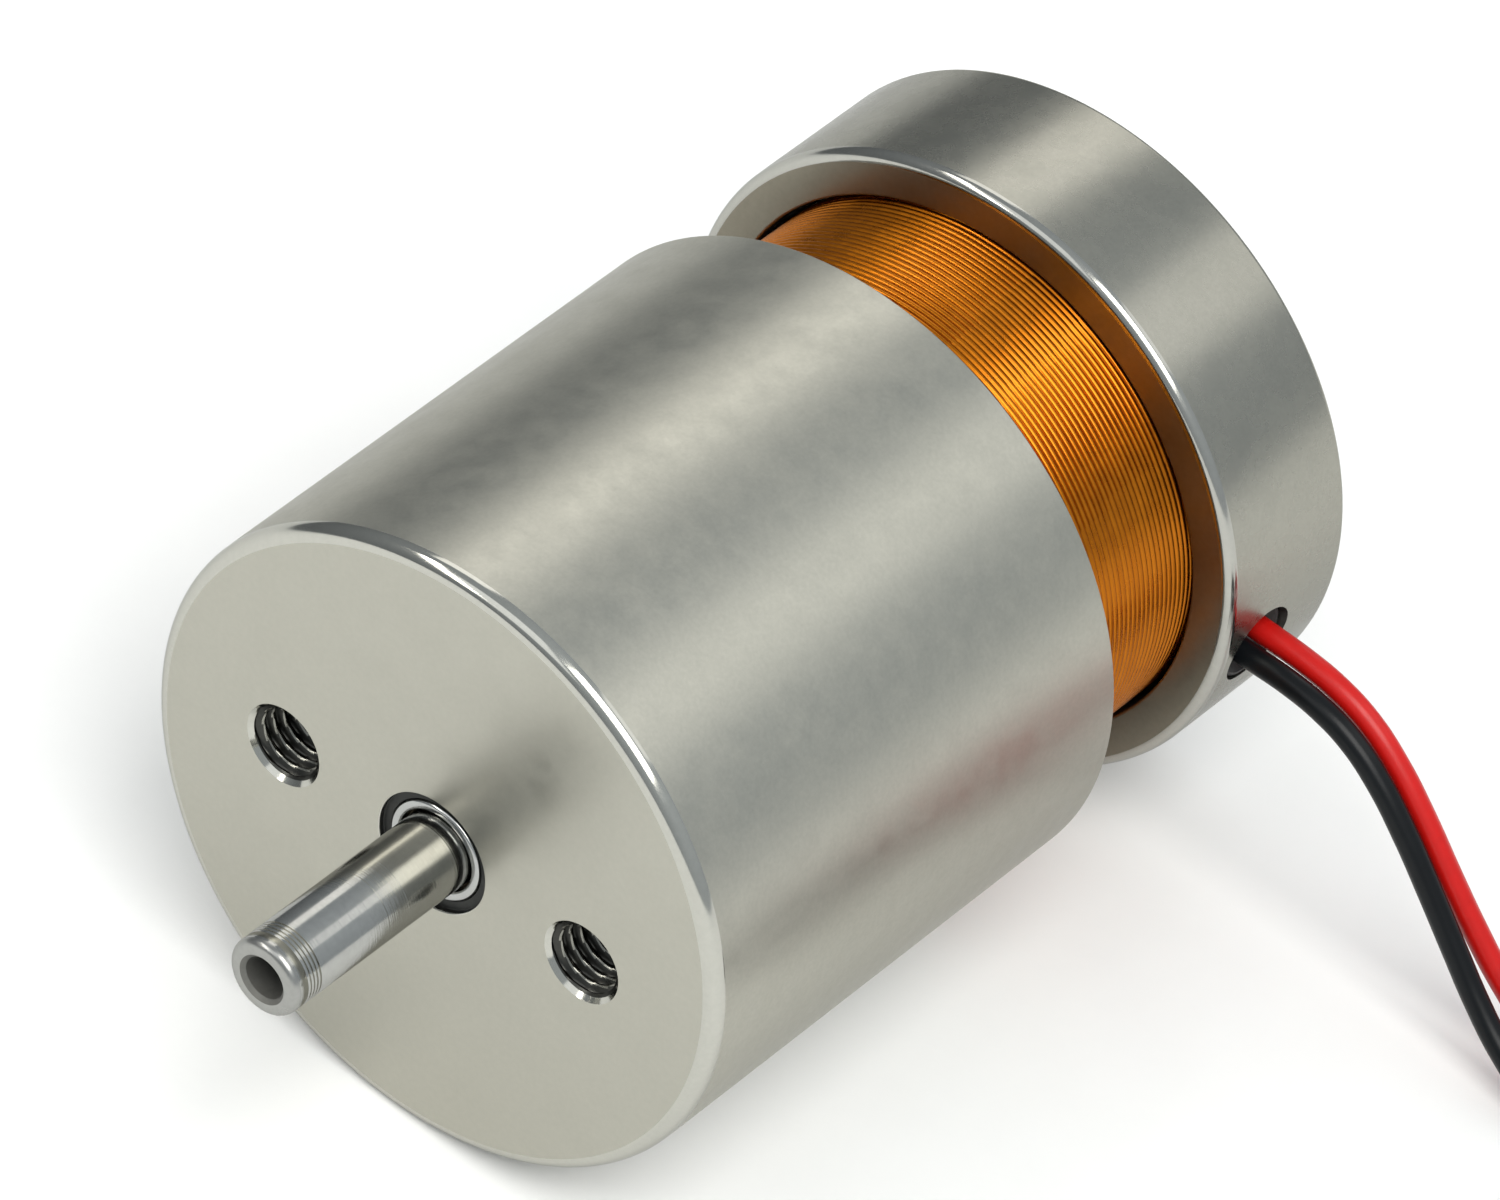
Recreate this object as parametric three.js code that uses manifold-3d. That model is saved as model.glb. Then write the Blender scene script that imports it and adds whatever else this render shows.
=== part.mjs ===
// Housed moving-coil linear actuator: a magnet housing with a tapped front face, a guided output
// shaft through its middle, and a coil assembly with two flying leads that slides at its rear.
// Millimetres, +Z up. The shaft axis runs along Y, with the output end towards -Y.
// Distances called "along" are measured from the front face towards the rear.

import * as THREE from 'three';
import { mergeVertices } from 'three/addons/utils/BufferGeometryUtils.js';
import Module from 'manifold-3d';

const wasm = await Module();
wasm.setup();

// ---------------------------------------------------------------- driving dimensions

const FACETS_LARGE = 60;
const FACETS_CORE = 36;
const FACETS_SMALL = 20;
const FACETS_HOLE = 16;
const FACETS_LEAD = 8;

const HOUSING_R = 25;
const HOUSING_LENGTH = 43;
const HOUSING_BORE_R = 21.05;
const FRONT_PLATE = 8;
const FRONT_RIM = 1;
const REAR_EDGE = 0.2;
const BORE_EDGE = 0.3;
const EXPOSED_COIL = 13.5;
const CUP_LENGTH = 13;
const CUP_R = 24.6;
const CUP_BORE_R = 21.1;
const SHAFT_R = 3;
const SHAFT_REACH = 17.5;
const FIT_GAP = 0.05;
const RUNNING_GAP = 0.04;

// Tapped M6 holes in the front face, left at their 5 mm tap-drill size
const FACE_HOLE_SPACING = 27;
const FACE_HOLE_R = 2.5;
const FACE_HOLE_MOUTH_R = 3.25;
const FACE_HOLE_DEPTH = 6.2;

// Bore in the front face, with the bush standing in a shallow counterbore. Each bush is a steel
// shell with a lip at its front, and a bronze liner behind the lip.
const NOSE_MOUTH_R = 4.85;
const NOSE_R = 4.7;
const NOSE_DEPTH = 0.5;
const BUSH_SEAT_R = 4.02;
const BUSH_SPLIT_R = 3.43;
const BUSH_LIP_R = 3.2;
const BUSH_LIP = 0.8;
const FRONT_BUSH_START = 0.25;
const LINER_START = 1;
const LINER_SETBACK = 0.3;

// Core: a sleeve that carries two ring magnets and the pole piece between them
const SLEEVE_R = 6.8;
const SLEEVE_START = 5;
const SLEEVE_END = 42;
const SLEEVE_BORE_R = 5;
const FRONT_BUSH_END = 9.8;
const REAR_BUSH_START = 29.6;
const REAR_BUSH_END = 41.4;
const MAGNET_R = 18;
const POLE_R = 18.2;
const POLE_START = 18.5;
const POLE_END = 33;
const REAR_MAGNET_END = 38;
const WASHER_END = 39.6;
const NUT_END = 41.9;
const BUMPER_END = 10;

// Coil assembly
const COIL_START = 23;
const COIL_R = 20.7;
const COIL_END = 58.2;
const FORMER_R = 19.2;
const FORMER_BORE_R = 18.6;
const FORMER_FLANGE_R = 14.5;
const FORMER_LIP = 0.7;
const CUP_WALL = 5.5;
const CUP_RIM = 0.8;
const INNER_EDGE = 0.15;
const REAR_CHAMFER = 0.5;
const HUB_R = 7;
const HUB_LENGTH = 3;
const JOURNAL_R = 2.5;
const SCREW_CIRCLE_R = 16.6;
const SCREW_COUNT = 4;
const CLIP_START = 26.9;
const CLIP_WIDTH = 1;
const CLIP_SEAT_R = 2.6;
const CLIP_R = 4.4;
const STOP_GAP = 0.1;
const STOP_CLEARANCE = 0.3;

// Leads
const LEAD_R = 0.95;
const LEAD_EXIT_DROP = 2.55;
const LEAD_EXIT_ALONG = 61.2;
const LEAD_HOLE_R = 3.2;
const LEAD_PITCH_Y = 0.93;
const LEAD_PITCH_Z = 0.43;
const LEAD_TURN_R = 10.6;
const LEAD_TURNS = 3.5;
const LEAD_TURN_PITCH = 1.95;
const LEAD_COIL_BASE = 0.4;
const LEAD_COIL_SLACK = 0.05;
const LEAD_JOIN_GAP = 0.3;
const LEAD_TIP_LENGTH = 5;
const LEAD_TIP_R = 0.6;
const TIE_WALL = 0.2;
const TIE_CLEARANCE = 0.15;
const TIE_WIDTH = 2.4;

// ---------------------------------------------------------------- derived places

const CUP_FRONT = HOUSING_LENGTH + EXPOSED_COIL;
const CUP_REAR = CUP_FRONT + CUP_LENGTH;
const CUP_FLOOR = CUP_REAR - CUP_WALL;
const HUB_FRONT = CUP_FLOOR - HUB_LENGTH;
// The housing lies on one flat of its faceted outside
const AXIS_Z = HOUSING_R * Math.cos(Math.PI / FACETS_LARGE);
// The middle of the whole length, shaft tip to cup, is the origin
const FRONT_Y = -(CUP_REAR - SHAFT_REACH) / 2;

// ---------------------------------------------------------------- colours

const NICKEL = { color: 0xb7b5a8, roughness: 0.35, metalness: 1 };
const GROUND_STEEL = { color: 0xc4c5c0, roughness: 0.22, metalness: 1 };
const DARK_STEEL = { color: 0x5c5f61, roughness: 0.4, metalness: 1 };
const MAGNET_GREY = { color: 0x8f9296, roughness: 0.3, metalness: 1 };
const ALUMINIUM = { color: 0xaeb0b0, roughness: 0.4, metalness: 1 };
const BRONZE = { color: 0xb08a4e, roughness: 0.45, metalness: 1 };
const COPPER = { color: 0xc97a1e, roughness: 0.35, metalness: 0.8 };
const RUBBER = { color: 0x1b1a19, roughness: 0.8, metalness: 0 };
const TINNED = { color: 0xcfcfca, roughness: 0.3, metalness: 1 };
const RED_PVC = { color: 0xc31a12, roughness: 0.45, metalness: 0 };
const BLACK_PVC = { color: 0x101113, roughness: 0.45, metalness: 0 };

// ---------------------------------------------------------------- helpers

const actuator = new THREE.Group();
actuator.position.set(0, FRONT_Y, AXIS_Z);
const leads = new THREE.Group();
const part = new THREE.Group();
part.add(actuator, leads);

function addMesh(parent, name, geometry, finish) {
  const mesh = new THREE.Mesh(geometry, new THREE.MeshStandardMaterial(finish));
  mesh.name = name;
  parent.add(mesh);
  return mesh;
}

// A turned solid about the Y axis from [radius, along] corners. The corners either start and end
// on the axis or go round a closed outline; both run so that the outside faces out.
function turned(corners, facets) {
  const points = corners.map(([radius, along]) => new THREE.Vector2(radius, along));
  if (corners[0][0] > 0) {
    points.push(points[0].clone());
  }
  let area = 0;
  points.forEach((point, i) => {
    const next = points[(i + 1) % points.length];
    area += point.x * next.y - next.x * point.y;
  });
  if (area < 0) points.reverse();
  return new THREE.LatheGeometry(points, facets, Math.PI / facets);
}

function ring(innerR, outerR, start, end, facets = FACETS_CORE) {
  return turned([[innerR, start], [outerR, start], [outerR, end], [innerR, end]], facets);
}

function solidOf(geometry) {
  const bare = geometry.index ? geometry.clone() : mergeVertices(geometry);
  bare.deleteAttribute('normal');
  bare.deleteAttribute('uv');
  const merged = mergeVertices(bare, 1e-4);
  return new wasm.Manifold(new wasm.Mesh({
    numProp: 3,
    vertProperties: new Float32Array(merged.attributes.position.array),
    triVerts: new Uint32Array(merged.index.array),
  }));
}

function cutAway(body, cutters) {
  let solid = solidOf(body);
  for (const cutter of cutters) {
    solid = solid.subtract(solidOf(cutter));
  }
  const mesh = solid.getMesh();
  const geometry = new THREE.BufferGeometry();
  geometry.setAttribute('position', new THREE.BufferAttribute(mesh.vertProperties, 3));
  geometry.setIndex(new THREE.BufferAttribute(mesh.triVerts, 1));
  return geometry;
}

function circleSection(radius, sides) {
  const points = [];
  for (let i = 0; i < sides; i += 1) {
    const angle = (2 * Math.PI * i) / sides;
    points.push(new THREE.Vector2(radius * Math.cos(angle), radius * Math.sin(angle)));
  }
  return new THREE.Shape(points);
}

function tube(curve, radius, steps) {
  return new THREE.ExtrudeGeometry(circleSection(radius, FACETS_LEAD), { steps, extrudePath: curve });
}

// ---------------------------------------------------------------- magnet housing

function housingShell() {
  const outline = [
    [NOSE_MOUTH_R, 0], [HOUSING_R - FRONT_RIM, 0],
    [HOUSING_R - 0.3 * FRONT_RIM, 0.3 * FRONT_RIM], [HOUSING_R, FRONT_RIM],
    [HOUSING_R, HOUSING_LENGTH - REAR_EDGE], [HOUSING_R - REAR_EDGE, HOUSING_LENGTH],
    [HOUSING_BORE_R + BORE_EDGE, HOUSING_LENGTH], [HOUSING_BORE_R, HOUSING_LENGTH - BORE_EDGE],
    [HOUSING_BORE_R, FRONT_PLATE], [SLEEVE_R + FIT_GAP, FRONT_PLATE],
    [SLEEVE_R + FIT_GAP, SLEEVE_START], [BUSH_SEAT_R, SLEEVE_START], [BUSH_SEAT_R, NOSE_DEPTH],
    [NOSE_R, NOSE_DEPTH], [NOSE_R, NOSE_MOUTH_R - NOSE_R],
  ];
  const over = 0.5;
  const mouthDepth = FACE_HOLE_MOUTH_R - FACE_HOLE_R;
  const cutters = [-1, 1].map((side) => {
    const hole = turned([
      [0, -over], [FACE_HOLE_MOUTH_R + over, -over], [FACE_HOLE_R, mouthDepth],
      [FACE_HOLE_R, FACE_HOLE_DEPTH], [0, FACE_HOLE_DEPTH + 1],
    ], FACETS_SMALL);
    return hole.translate((side * FACE_HOLE_SPACING) / 2, 0, 0);
  });
  return cutAway(turned(outline, FACETS_LARGE), cutters);
}

function bushShell(outerR, start, end) {
  const edge = 0.2;
  return turned([
    [BUSH_LIP_R, start], [outerR - edge, start], [outerR, start + edge], [outerR, end],
    [BUSH_SPLIT_R, end], [BUSH_SPLIT_R, start + BUSH_LIP], [BUSH_LIP_R, start + BUSH_LIP],
  ], FACETS_CORE);
}

// The liner of a bush whose shell runs from start to end
function bushLiner(start, end) {
  return ring(SHAFT_R + RUNNING_GAP, BUSH_SPLIT_R - FIT_GAP, start + LINER_START, end - LINER_SETBACK);
}

function coreSleeve() {
  const start = SLEEVE_START + FIT_GAP;
  const step = FRONT_BUSH_END + REAR_EDGE;
  return turned([
    [BUSH_SEAT_R, start], [SLEEVE_R, start], [SLEEVE_R, SLEEVE_END],
    [SLEEVE_BORE_R, SLEEVE_END], [SLEEVE_BORE_R, step], [BUSH_SEAT_R, step],
  ], FACETS_CORE);
}

function coreNut() {
  const nutR = 11;
  const slotWidth = 2.4;
  const slotDepth = 1.6;
  const start = WASHER_END + FIT_GAP;
  const length = NUT_END - start;
  const slots = [0, 1, 2, 3].map((quarter) => {
    const slot = new THREE.BoxGeometry(2 * slotDepth, length + 1, slotWidth);
    slot.translate(nutR, start + length / 2, 0);
    return slot.rotateY((quarter * Math.PI) / 2);
  });
  return cutAway(ring(SLEEVE_R + FIT_GAP, nutR, start, NUT_END), slots);
}

addMesh(actuator, 'housing_shell', housingShell(), NICKEL);
addMesh(actuator, 'front_bush_shell',
  bushShell(BUSH_SEAT_R - FIT_GAP, FRONT_BUSH_START, FRONT_BUSH_END), GROUND_STEEL);
addMesh(actuator, 'front_bush_liner', bushLiner(FRONT_BUSH_START, FRONT_BUSH_END), BRONZE);
addMesh(actuator, 'core_sleeve', coreSleeve(), GROUND_STEEL);
addMesh(actuator, 'rear_bush_shell',
  bushShell(SLEEVE_BORE_R - FIT_GAP, REAR_BUSH_START, REAR_BUSH_END), GROUND_STEEL);
addMesh(actuator, 'rear_bush_liner', bushLiner(REAR_BUSH_START, REAR_BUSH_END), BRONZE);

const coreBoreR = SLEEVE_R + FIT_GAP;
addMesh(actuator, 'front_magnet',
  ring(coreBoreR, MAGNET_R, FRONT_PLATE + FIT_GAP, POLE_START), MAGNET_GREY);
addMesh(actuator, 'pole_piece', ring(coreBoreR, POLE_R, POLE_START + FIT_GAP, POLE_END), DARK_STEEL);
addMesh(actuator, 'rear_magnet',
  ring(coreBoreR, MAGNET_R, POLE_END + FIT_GAP, REAR_MAGNET_END), MAGNET_GREY);
addMesh(actuator, 'core_end_washer',
  ring(coreBoreR, MAGNET_R - 0.5, REAR_MAGNET_END + FIT_GAP, WASHER_END), ALUMINIUM);
addMesh(actuator, 'core_nut', coreNut(), GROUND_STEEL);
addMesh(actuator, 'front_bumper',
  ring(MAGNET_R + 0.3, HOUSING_BORE_R - 0.15, FRONT_PLATE + FIT_GAP, BUMPER_END), RUBBER);

// ---------------------------------------------------------------- coil assembly

function outputShaft() {
  const tapR = 1.65;
  const mouth = 0.3;
  const tipRound = 0.6;
  const tip = -SHAFT_REACH;
  const tipHole = 9;
  const rearHole = 10;
  const clipEnd = CLIP_START + CLIP_WIDTH + FIT_GAP;
  const rear = HUB_FRONT + 4.9;
  const outline = [
    [0, tip + tipHole + 1], [tapR, tip + tipHole], [tapR, tip + mouth], [tapR + mouth, tip],
    [SHAFT_R - tipRound, tip], [SHAFT_R - 0.3 * tipRound, tip + 0.3 * tipRound],
    [SHAFT_R, tip + tipRound],
    [SHAFT_R, CLIP_START - FIT_GAP], [CLIP_SEAT_R, CLIP_START - FIT_GAP],
    [CLIP_SEAT_R, clipEnd], [SHAFT_R, clipEnd],
    [SHAFT_R, HUB_FRONT], [JOURNAL_R, HUB_FRONT], [JOURNAL_R, rear - mouth],
    [JOURNAL_R - mouth, rear], [tapR, rear], [tapR, rear - rearHole], [0, rear - rearHole - 1],
  ];
  return turned(outline, FACETS_CORE);
}

function coilFormer() {
  const flange = 2.55;
  const screwHoleR = 1.3;
  const lipR = COIL_R - 0.1;
  const end = CUP_FLOOR - FIT_GAP;
  const body = turned([
    [FORMER_BORE_R, COIL_START], [lipR, COIL_START], [lipR, COIL_START + FORMER_LIP],
    [FORMER_R, COIL_START + FORMER_LIP], [FORMER_R, end], [FORMER_FLANGE_R, end],
    [FORMER_FLANGE_R, end - flange], [FORMER_BORE_R, end - flange],
  ], FACETS_CORE);
  return cutAway(body, screwHoles(screwHoleR, end - flange - 1, end + 1));
}

function toScrewCircle(geometry, index) {
  const angle = (2 * Math.PI * (index + 0.5)) / SCREW_COUNT;
  return geometry.translate(SCREW_CIRCLE_R * Math.cos(angle), 0, SCREW_CIRCLE_R * Math.sin(angle));
}

// The same turned hole at every place on the screw circle
function holesOnCircle(corners) {
  const holes = [];
  for (let i = 0; i < SCREW_COUNT; i += 1) {
    holes.push(toScrewCircle(turned(corners, FACETS_HOLE), i));
  }
  return holes;
}

function screwHoles(radius, start, end) {
  return holesOnCircle([[0, start], [radius, start], [radius, end], [0, end]]);
}

const SCREW_HEAD_R = 2.7;
const SCREW_SHANK_R = 1.25;
const SCREW_SINK = 0.1;

function countersinks() {
  const over = 0.5;
  const throatR = SCREW_SHANK_R + 0.2;
  const mouthR = SCREW_HEAD_R + 0.15;
  return holesOnCircle([
    [0, CUP_FLOOR - 1], [throatR, CUP_FLOOR - 1], [throatR, CUP_REAR - mouthR + throatR],
    [mouthR + over, CUP_REAR + over], [0, CUP_REAR + over],
  ]);
}

function rearCup() {
  const headBoreR = 3.8;
  const headSeat = CUP_REAR - 3.5;
  const seatR = JOURNAL_R + FIT_GAP;
  const hubFront = HUB_FRONT + FIT_GAP;
  const outline = [
    [CUP_BORE_R + INNER_EDGE, CUP_FRONT], [CUP_R - CUP_RIM, CUP_FRONT],
    [CUP_R - 0.3 * CUP_RIM, CUP_FRONT + 0.3 * CUP_RIM], [CUP_R, CUP_FRONT + CUP_RIM],
    [CUP_R, CUP_REAR - REAR_CHAMFER], [CUP_R - REAR_CHAMFER, CUP_REAR],
    [headBoreR + BORE_EDGE, CUP_REAR], [headBoreR, CUP_REAR - BORE_EDGE], [headBoreR, headSeat],
    [seatR, headSeat], [seatR, hubFront], [HUB_R, hubFront], [HUB_R, CUP_FLOOR],
    [CUP_BORE_R, CUP_FLOOR], [CUP_BORE_R, CUP_FRONT + INNER_EDGE],
  ];
  const leadHole = new THREE.CylinderGeometry(LEAD_HOLE_R, LEAD_HOLE_R, 8, FACETS_SMALL);
  leadHole.rotateZ(Math.PI / 2);
  leadHole.translate(CUP_BORE_R + 2, LEAD_EXIT_ALONG, -LEAD_EXIT_DROP);
  return cutAway(turned(outline, FACETS_LARGE), [leadHole, ...countersinks()]);
}

function formerScrew(index) {
  const socketR = 1.15;
  const socketDepth = 1.2;
  const top = CUP_REAR - SCREW_SINK;
  const tip = CUP_FLOOR - 2;
  const body = turned([
    [0, tip], [SCREW_SHANK_R - 0.3, tip], [SCREW_SHANK_R, tip + 0.3],
    [SCREW_SHANK_R, top - SCREW_HEAD_R + SCREW_SHANK_R], [SCREW_HEAD_R, top], [0, top],
  ], FACETS_SMALL);
  const socket = new THREE.CylinderGeometry(socketR, socketR, 2 * socketDepth, 6);
  socket.translate(0, top, 0);
  return toScrewCircle(cutAway(body, [socket]), index);
}

function shaftScrew() {
  const edge = 0.3;
  const shankR = 1.6;
  const headR = 3.5;
  const socketR = 1.75;
  const socketDepth = 1.8;
  const seat = CUP_REAR - 3.4;
  const top = seat + 2.8;
  const tip = seat - 8.5;
  const body = turned([
    [0, tip], [shankR - edge, tip], [shankR, tip + edge], [shankR, seat],
    [headR, seat], [headR, top - edge], [headR - edge, top], [0, top],
  ], FACETS_SMALL);
  const socket = new THREE.CylinderGeometry(socketR, socketR, 2 * socketDepth, 6);
  socket.translate(0, top, 0);
  return cutAway(body, [socket]);
}

function stopClip() {
  const gapWidth = 2.4;
  const band = ring(CLIP_SEAT_R + FIT_GAP, CLIP_R, CLIP_START, CLIP_START + CLIP_WIDTH);
  const gap = new THREE.BoxGeometry(gapWidth, 3 * CLIP_WIDTH, 2 * CLIP_R);
  gap.translate(0, CLIP_START + CLIP_WIDTH / 2, CLIP_R);
  return cutAway(band, [gap]);
}

function leadGrommet() {
  const plugR = LEAD_HOLE_R - 0.1;
  const plugLength = 2.7;
  const passageR = LEAD_R + 0.06;
  const middleX = CUP_BORE_R + 1.45;
  const plug = new THREE.CylinderGeometry(plugR, plugR, plugLength, FACETS_SMALL);
  plug.rotateZ(Math.PI / 2);
  plug.translate(middleX, LEAD_EXIT_ALONG, -LEAD_EXIT_DROP);
  const passages = [-1, 1].map((side) => {
    const passage = new THREE.CylinderGeometry(passageR, passageR, 2 * plugLength, FACETS_HOLE);
    passage.rotateZ(Math.PI / 2);
    return passage.translate(middleX,
      LEAD_EXIT_ALONG + side * LEAD_PITCH_Y, -LEAD_EXIT_DROP + side * LEAD_PITCH_Z);
  });
  return cutAway(plug, passages);
}

// The soldered joint between a lead and the winding, sleeved and laid round inside the cup
function spliceSleeve(startDegrees, endDegrees) {
  const sleeveR = 0.7;
  const radius = (FORMER_R + CUP_BORE_R) / 2;
  const along = LEAD_EXIT_ALONG - 0.8;
  const points = [0, 0.25, 0.5, 0.75, 1].map((share) => {
    const angle = THREE.MathUtils.degToRad(startDegrees + share * (endDegrees - startDegrees));
    return new THREE.Vector3(radius * Math.cos(angle), along, radius * Math.sin(angle));
  });
  return tube(new THREE.CatmullRomCurve3(points), sleeveR, 8);
}

addMesh(actuator, 'output_shaft', outputShaft(), GROUND_STEEL);
addMesh(actuator, 'shaft_clip', stopClip(), DARK_STEEL);
addMesh(actuator, 'stop_washer',
  ring(SHAFT_R + STOP_GAP, SLEEVE_BORE_R - STOP_CLEARANCE,
    CLIP_START + CLIP_WIDTH + STOP_GAP, REAR_BUSH_START - STOP_GAP), RUBBER);
addMesh(actuator, 'coil_former', coilFormer(), ALUMINIUM);
addMesh(actuator, 'coil_winding',
  ring(FORMER_R + FIT_GAP, COIL_R, COIL_START + FORMER_LIP + FIT_GAP, COIL_END, FACETS_LARGE), COPPER);
addMesh(actuator, 'rear_cup', rearCup(), NICKEL);
for (let i = 0; i < SCREW_COUNT; i += 1) {
  addMesh(actuator, `former_screw_${i + 1}`, formerScrew(i), DARK_STEEL);
}
addMesh(actuator, 'shaft_screw', shaftScrew(), DARK_STEEL);
addMesh(actuator, 'lead_grommet', leadGrommet(), RUBBER);
addMesh(actuator, 'splice_sleeve_red', spliceSleeve(6, 34), RED_PVC);
addMesh(actuator, 'splice_sleeve_black', spliceSleeve(-18, -46), BLACK_PVC);

// ---------------------------------------------------------------- leads on the surface

// Each lead leaves the grommet, drops to the surface and runs to the side of its own round coil,
// whose turns lie on each other. The tail comes down from the top turn. Points are [x, y, z] of
// the centre line, and side tells on which side of the coil's middle the tail leaves.
const LEADS = [
  {
    colour: 'red',
    finish: RED_PVC,
    side: 1,
    coilCentre: [72, 48.2],
    route: [
      [21.5, 36.13, 22.85], [24.6, 36.13, 22.85], [28, 36.13, 22.8], [31, 36.15, 22.4],
      [34, 36.2, 21.3], [37, 36.25, 19.2], [40, 36.3, 16.3], [43, 36.4, 12.9], [46, 36.6, 9.5],
      [49, 36.85, 6.4], [52, 37.1, 4], [55, 37.35, 2.4], [58, 37.5, 1.6], [61, 37.6, 1.35],
      [65.2, 37.6, 1.35],
    ],
  },
  {
    colour: 'black',
    finish: BLACK_PVC,
    side: -1,
    coilCentre: [76, 22.6],
    route: [
      [21.5, 34.27, 21.98], [24.6, 34.27, 21.98], [28, 34.22, 22.1], [31, 34.17, 21.85],
      [34, 34.18, 20.9], [37, 34.22, 18.9], [40, 34.27, 16], [43, 34.32, 12.6], [46, 34.28, 9.2],
      [49, 34.1, 6.1], [52, 33.8, 3.75], [55, 33.5, 2.25], [58, 33.3, 1.55], [61, 33.2, 1.35],
      [65, 33.2, 1.35], [69.2, 33.2, 1.35],
    ],
  },
];

// How far behind the coil's middle and how high the tail's centre line runs
const TAIL_STEPS = [[6.8, 8.18], [9, 7.9], [11, 6.6], [13, 4.2], [15, 2.1], [17, 1.1], [19, 0.95]];

const LEAD_COIL_TOP = LEAD_COIL_BASE + 2 * LEAD_R + LEAD_TURNS * LEAD_TURN_PITCH;

function leadTie() {
  const wide = 2 * (LEAD_R + LEAD_COIL_SLACK + TIE_CLEARANCE);
  const high = LEAD_COIL_TOP - LEAD_COIL_BASE + 2 * TIE_CLEARANCE;
  const band = new THREE.BoxGeometry(wide + 2 * TIE_WALL, TIE_WIDTH, high + 2 * TIE_WALL);
  const inside = new THREE.BoxGeometry(wide, 2 * TIE_WIDTH, high);
  return cutAway(band, [inside]);
}

function addLead({ colour, finish, side, coilCentre, route }) {
  const [centreX, centreY] = coilCentre;
  const curve = new THREE.CatmullRomCurve3(route.map((point) => new THREE.Vector3(...point)));
  addMesh(leads, `lead_${colour}`, tube(curve, LEAD_R, 22), finish);

  const halfBand = LEAD_R + LEAD_COIL_SLACK;
  const coil = ring(LEAD_TURN_R - halfBand, LEAD_TURN_R + halfBand, LEAD_COIL_BASE, LEAD_COIL_TOP, 36);
  coil.rotateX(Math.PI / 2);
  addMesh(leads, `lead_${colour}_coil`, coil, finish).position.set(centreX, centreY, 0);
  addMesh(leads, `lead_${colour}_tie`, leadTie(), RUBBER)
    .position.set(centreX + LEAD_TURN_R, centreY, (LEAD_COIL_BASE + LEAD_COIL_TOP) / 2);

  const tailY = centreY + side * LEAD_TURN_R;
  const tailPoints = TAIL_STEPS.map(([behind, height]) => (
    new THREE.Vector3(centreX - behind, tailY, height)
  ));
  const tailCurve = new THREE.CatmullRomCurve3(tailPoints);
  addMesh(leads, `lead_${colour}_tail`, tube(tailCurve, LEAD_R, 8), finish);

  const tip = new THREE.CylinderGeometry(LEAD_TIP_R, LEAD_TIP_R, LEAD_TIP_LENGTH, FACETS_LEAD);
  tip.rotateZ(Math.PI / 2);
  const tailEnd = tailPoints[tailPoints.length - 1];
  addMesh(leads, `lead_${colour}_tip`, tip, TINNED)
    .position.set(tailEnd.x - LEAD_JOIN_GAP - LEAD_TIP_LENGTH / 2, tailY, LEAD_R);
}

LEADS.forEach(addLead);

export default part;
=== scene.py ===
import math

import bpy
import bmesh
from mathutils import Matrix, Quaternion, Vector


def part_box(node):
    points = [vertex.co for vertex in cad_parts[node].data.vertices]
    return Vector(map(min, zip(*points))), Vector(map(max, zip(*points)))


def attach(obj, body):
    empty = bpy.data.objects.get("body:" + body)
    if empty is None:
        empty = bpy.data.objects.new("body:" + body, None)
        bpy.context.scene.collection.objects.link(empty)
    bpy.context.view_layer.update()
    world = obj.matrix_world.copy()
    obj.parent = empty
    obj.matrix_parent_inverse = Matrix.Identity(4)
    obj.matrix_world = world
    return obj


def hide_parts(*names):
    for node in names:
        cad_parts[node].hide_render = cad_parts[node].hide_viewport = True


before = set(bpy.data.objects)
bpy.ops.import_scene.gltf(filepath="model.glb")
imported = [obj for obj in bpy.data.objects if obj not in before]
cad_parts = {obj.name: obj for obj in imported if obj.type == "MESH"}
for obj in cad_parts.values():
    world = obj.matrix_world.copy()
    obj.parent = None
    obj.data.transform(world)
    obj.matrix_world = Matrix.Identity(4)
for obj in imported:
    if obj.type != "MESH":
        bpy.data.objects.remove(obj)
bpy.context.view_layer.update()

# The looks of a housed moving-coil motor. Places on the motor are in millimetres about its shaft
# axis: x to the right, "along" from the front face towards the rear, z up. The camera, the leads,
# the floor and the lights are in metres, like the frame.

MM = 0.001
SHELL_LOW, SHELL_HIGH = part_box("housing_shell")
CUP_LOW, CUP_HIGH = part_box("rear_cup")
SHAFT_LOW, SHAFT_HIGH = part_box("output_shaft")
COIL_LOW, COIL_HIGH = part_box("coil_winding")
FRONT = SHELL_LOW[1]
AXIS_Z = (SHELL_LOW[2] + SHELL_HIGH[2]) / 2


def along(y):
    """Millimetres behind the front face."""
    return (y - FRONT) / MM


HOUSING_R = (SHELL_HIGH[2] - SHELL_LOW[2]) / 2 / MM
HOUSING_END = along(SHELL_HIGH[1])
CUP_R = (CUP_HIGH[2] - CUP_LOW[2]) / 2 / MM
CUP_FRONT = along(CUP_LOW[1])
CUP_REAR = along(CUP_HIGH[1])
SHAFT_TIP = along(SHAFT_LOW[1])
SHAFT_END = along(SHAFT_HIGH[1])
COIL_R = (COIL_HIGH[2] - COIL_LOW[2]) / 2 / MM
COIL_START = along(COIL_LOW[1])
COIL_END = along(COIL_HIGH[1])

# Magnet housing
FRONT_RIM = 1.1
SOFT_EDGE = 0.12
BORE_EDGE = 0.3
FRONT_PLATE = 8
HOUSING_BORE_R = 21.05
SLEEVE_SEAT_R = 6.85
SLEEVE_START = 5
NOSE_R = 4.7
NOSE_DEPTH = 0.5

# M6 holes in the front face, 27 mm apart
TAP_X = 13.5
TAP_MOUTH_R = 3.25
TAP_MINOR_R = 2.5
TAP_MAJOR_R = 3.0
TAP_PITCH = 1.0
TAP_DEPTH = 6.2

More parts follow.
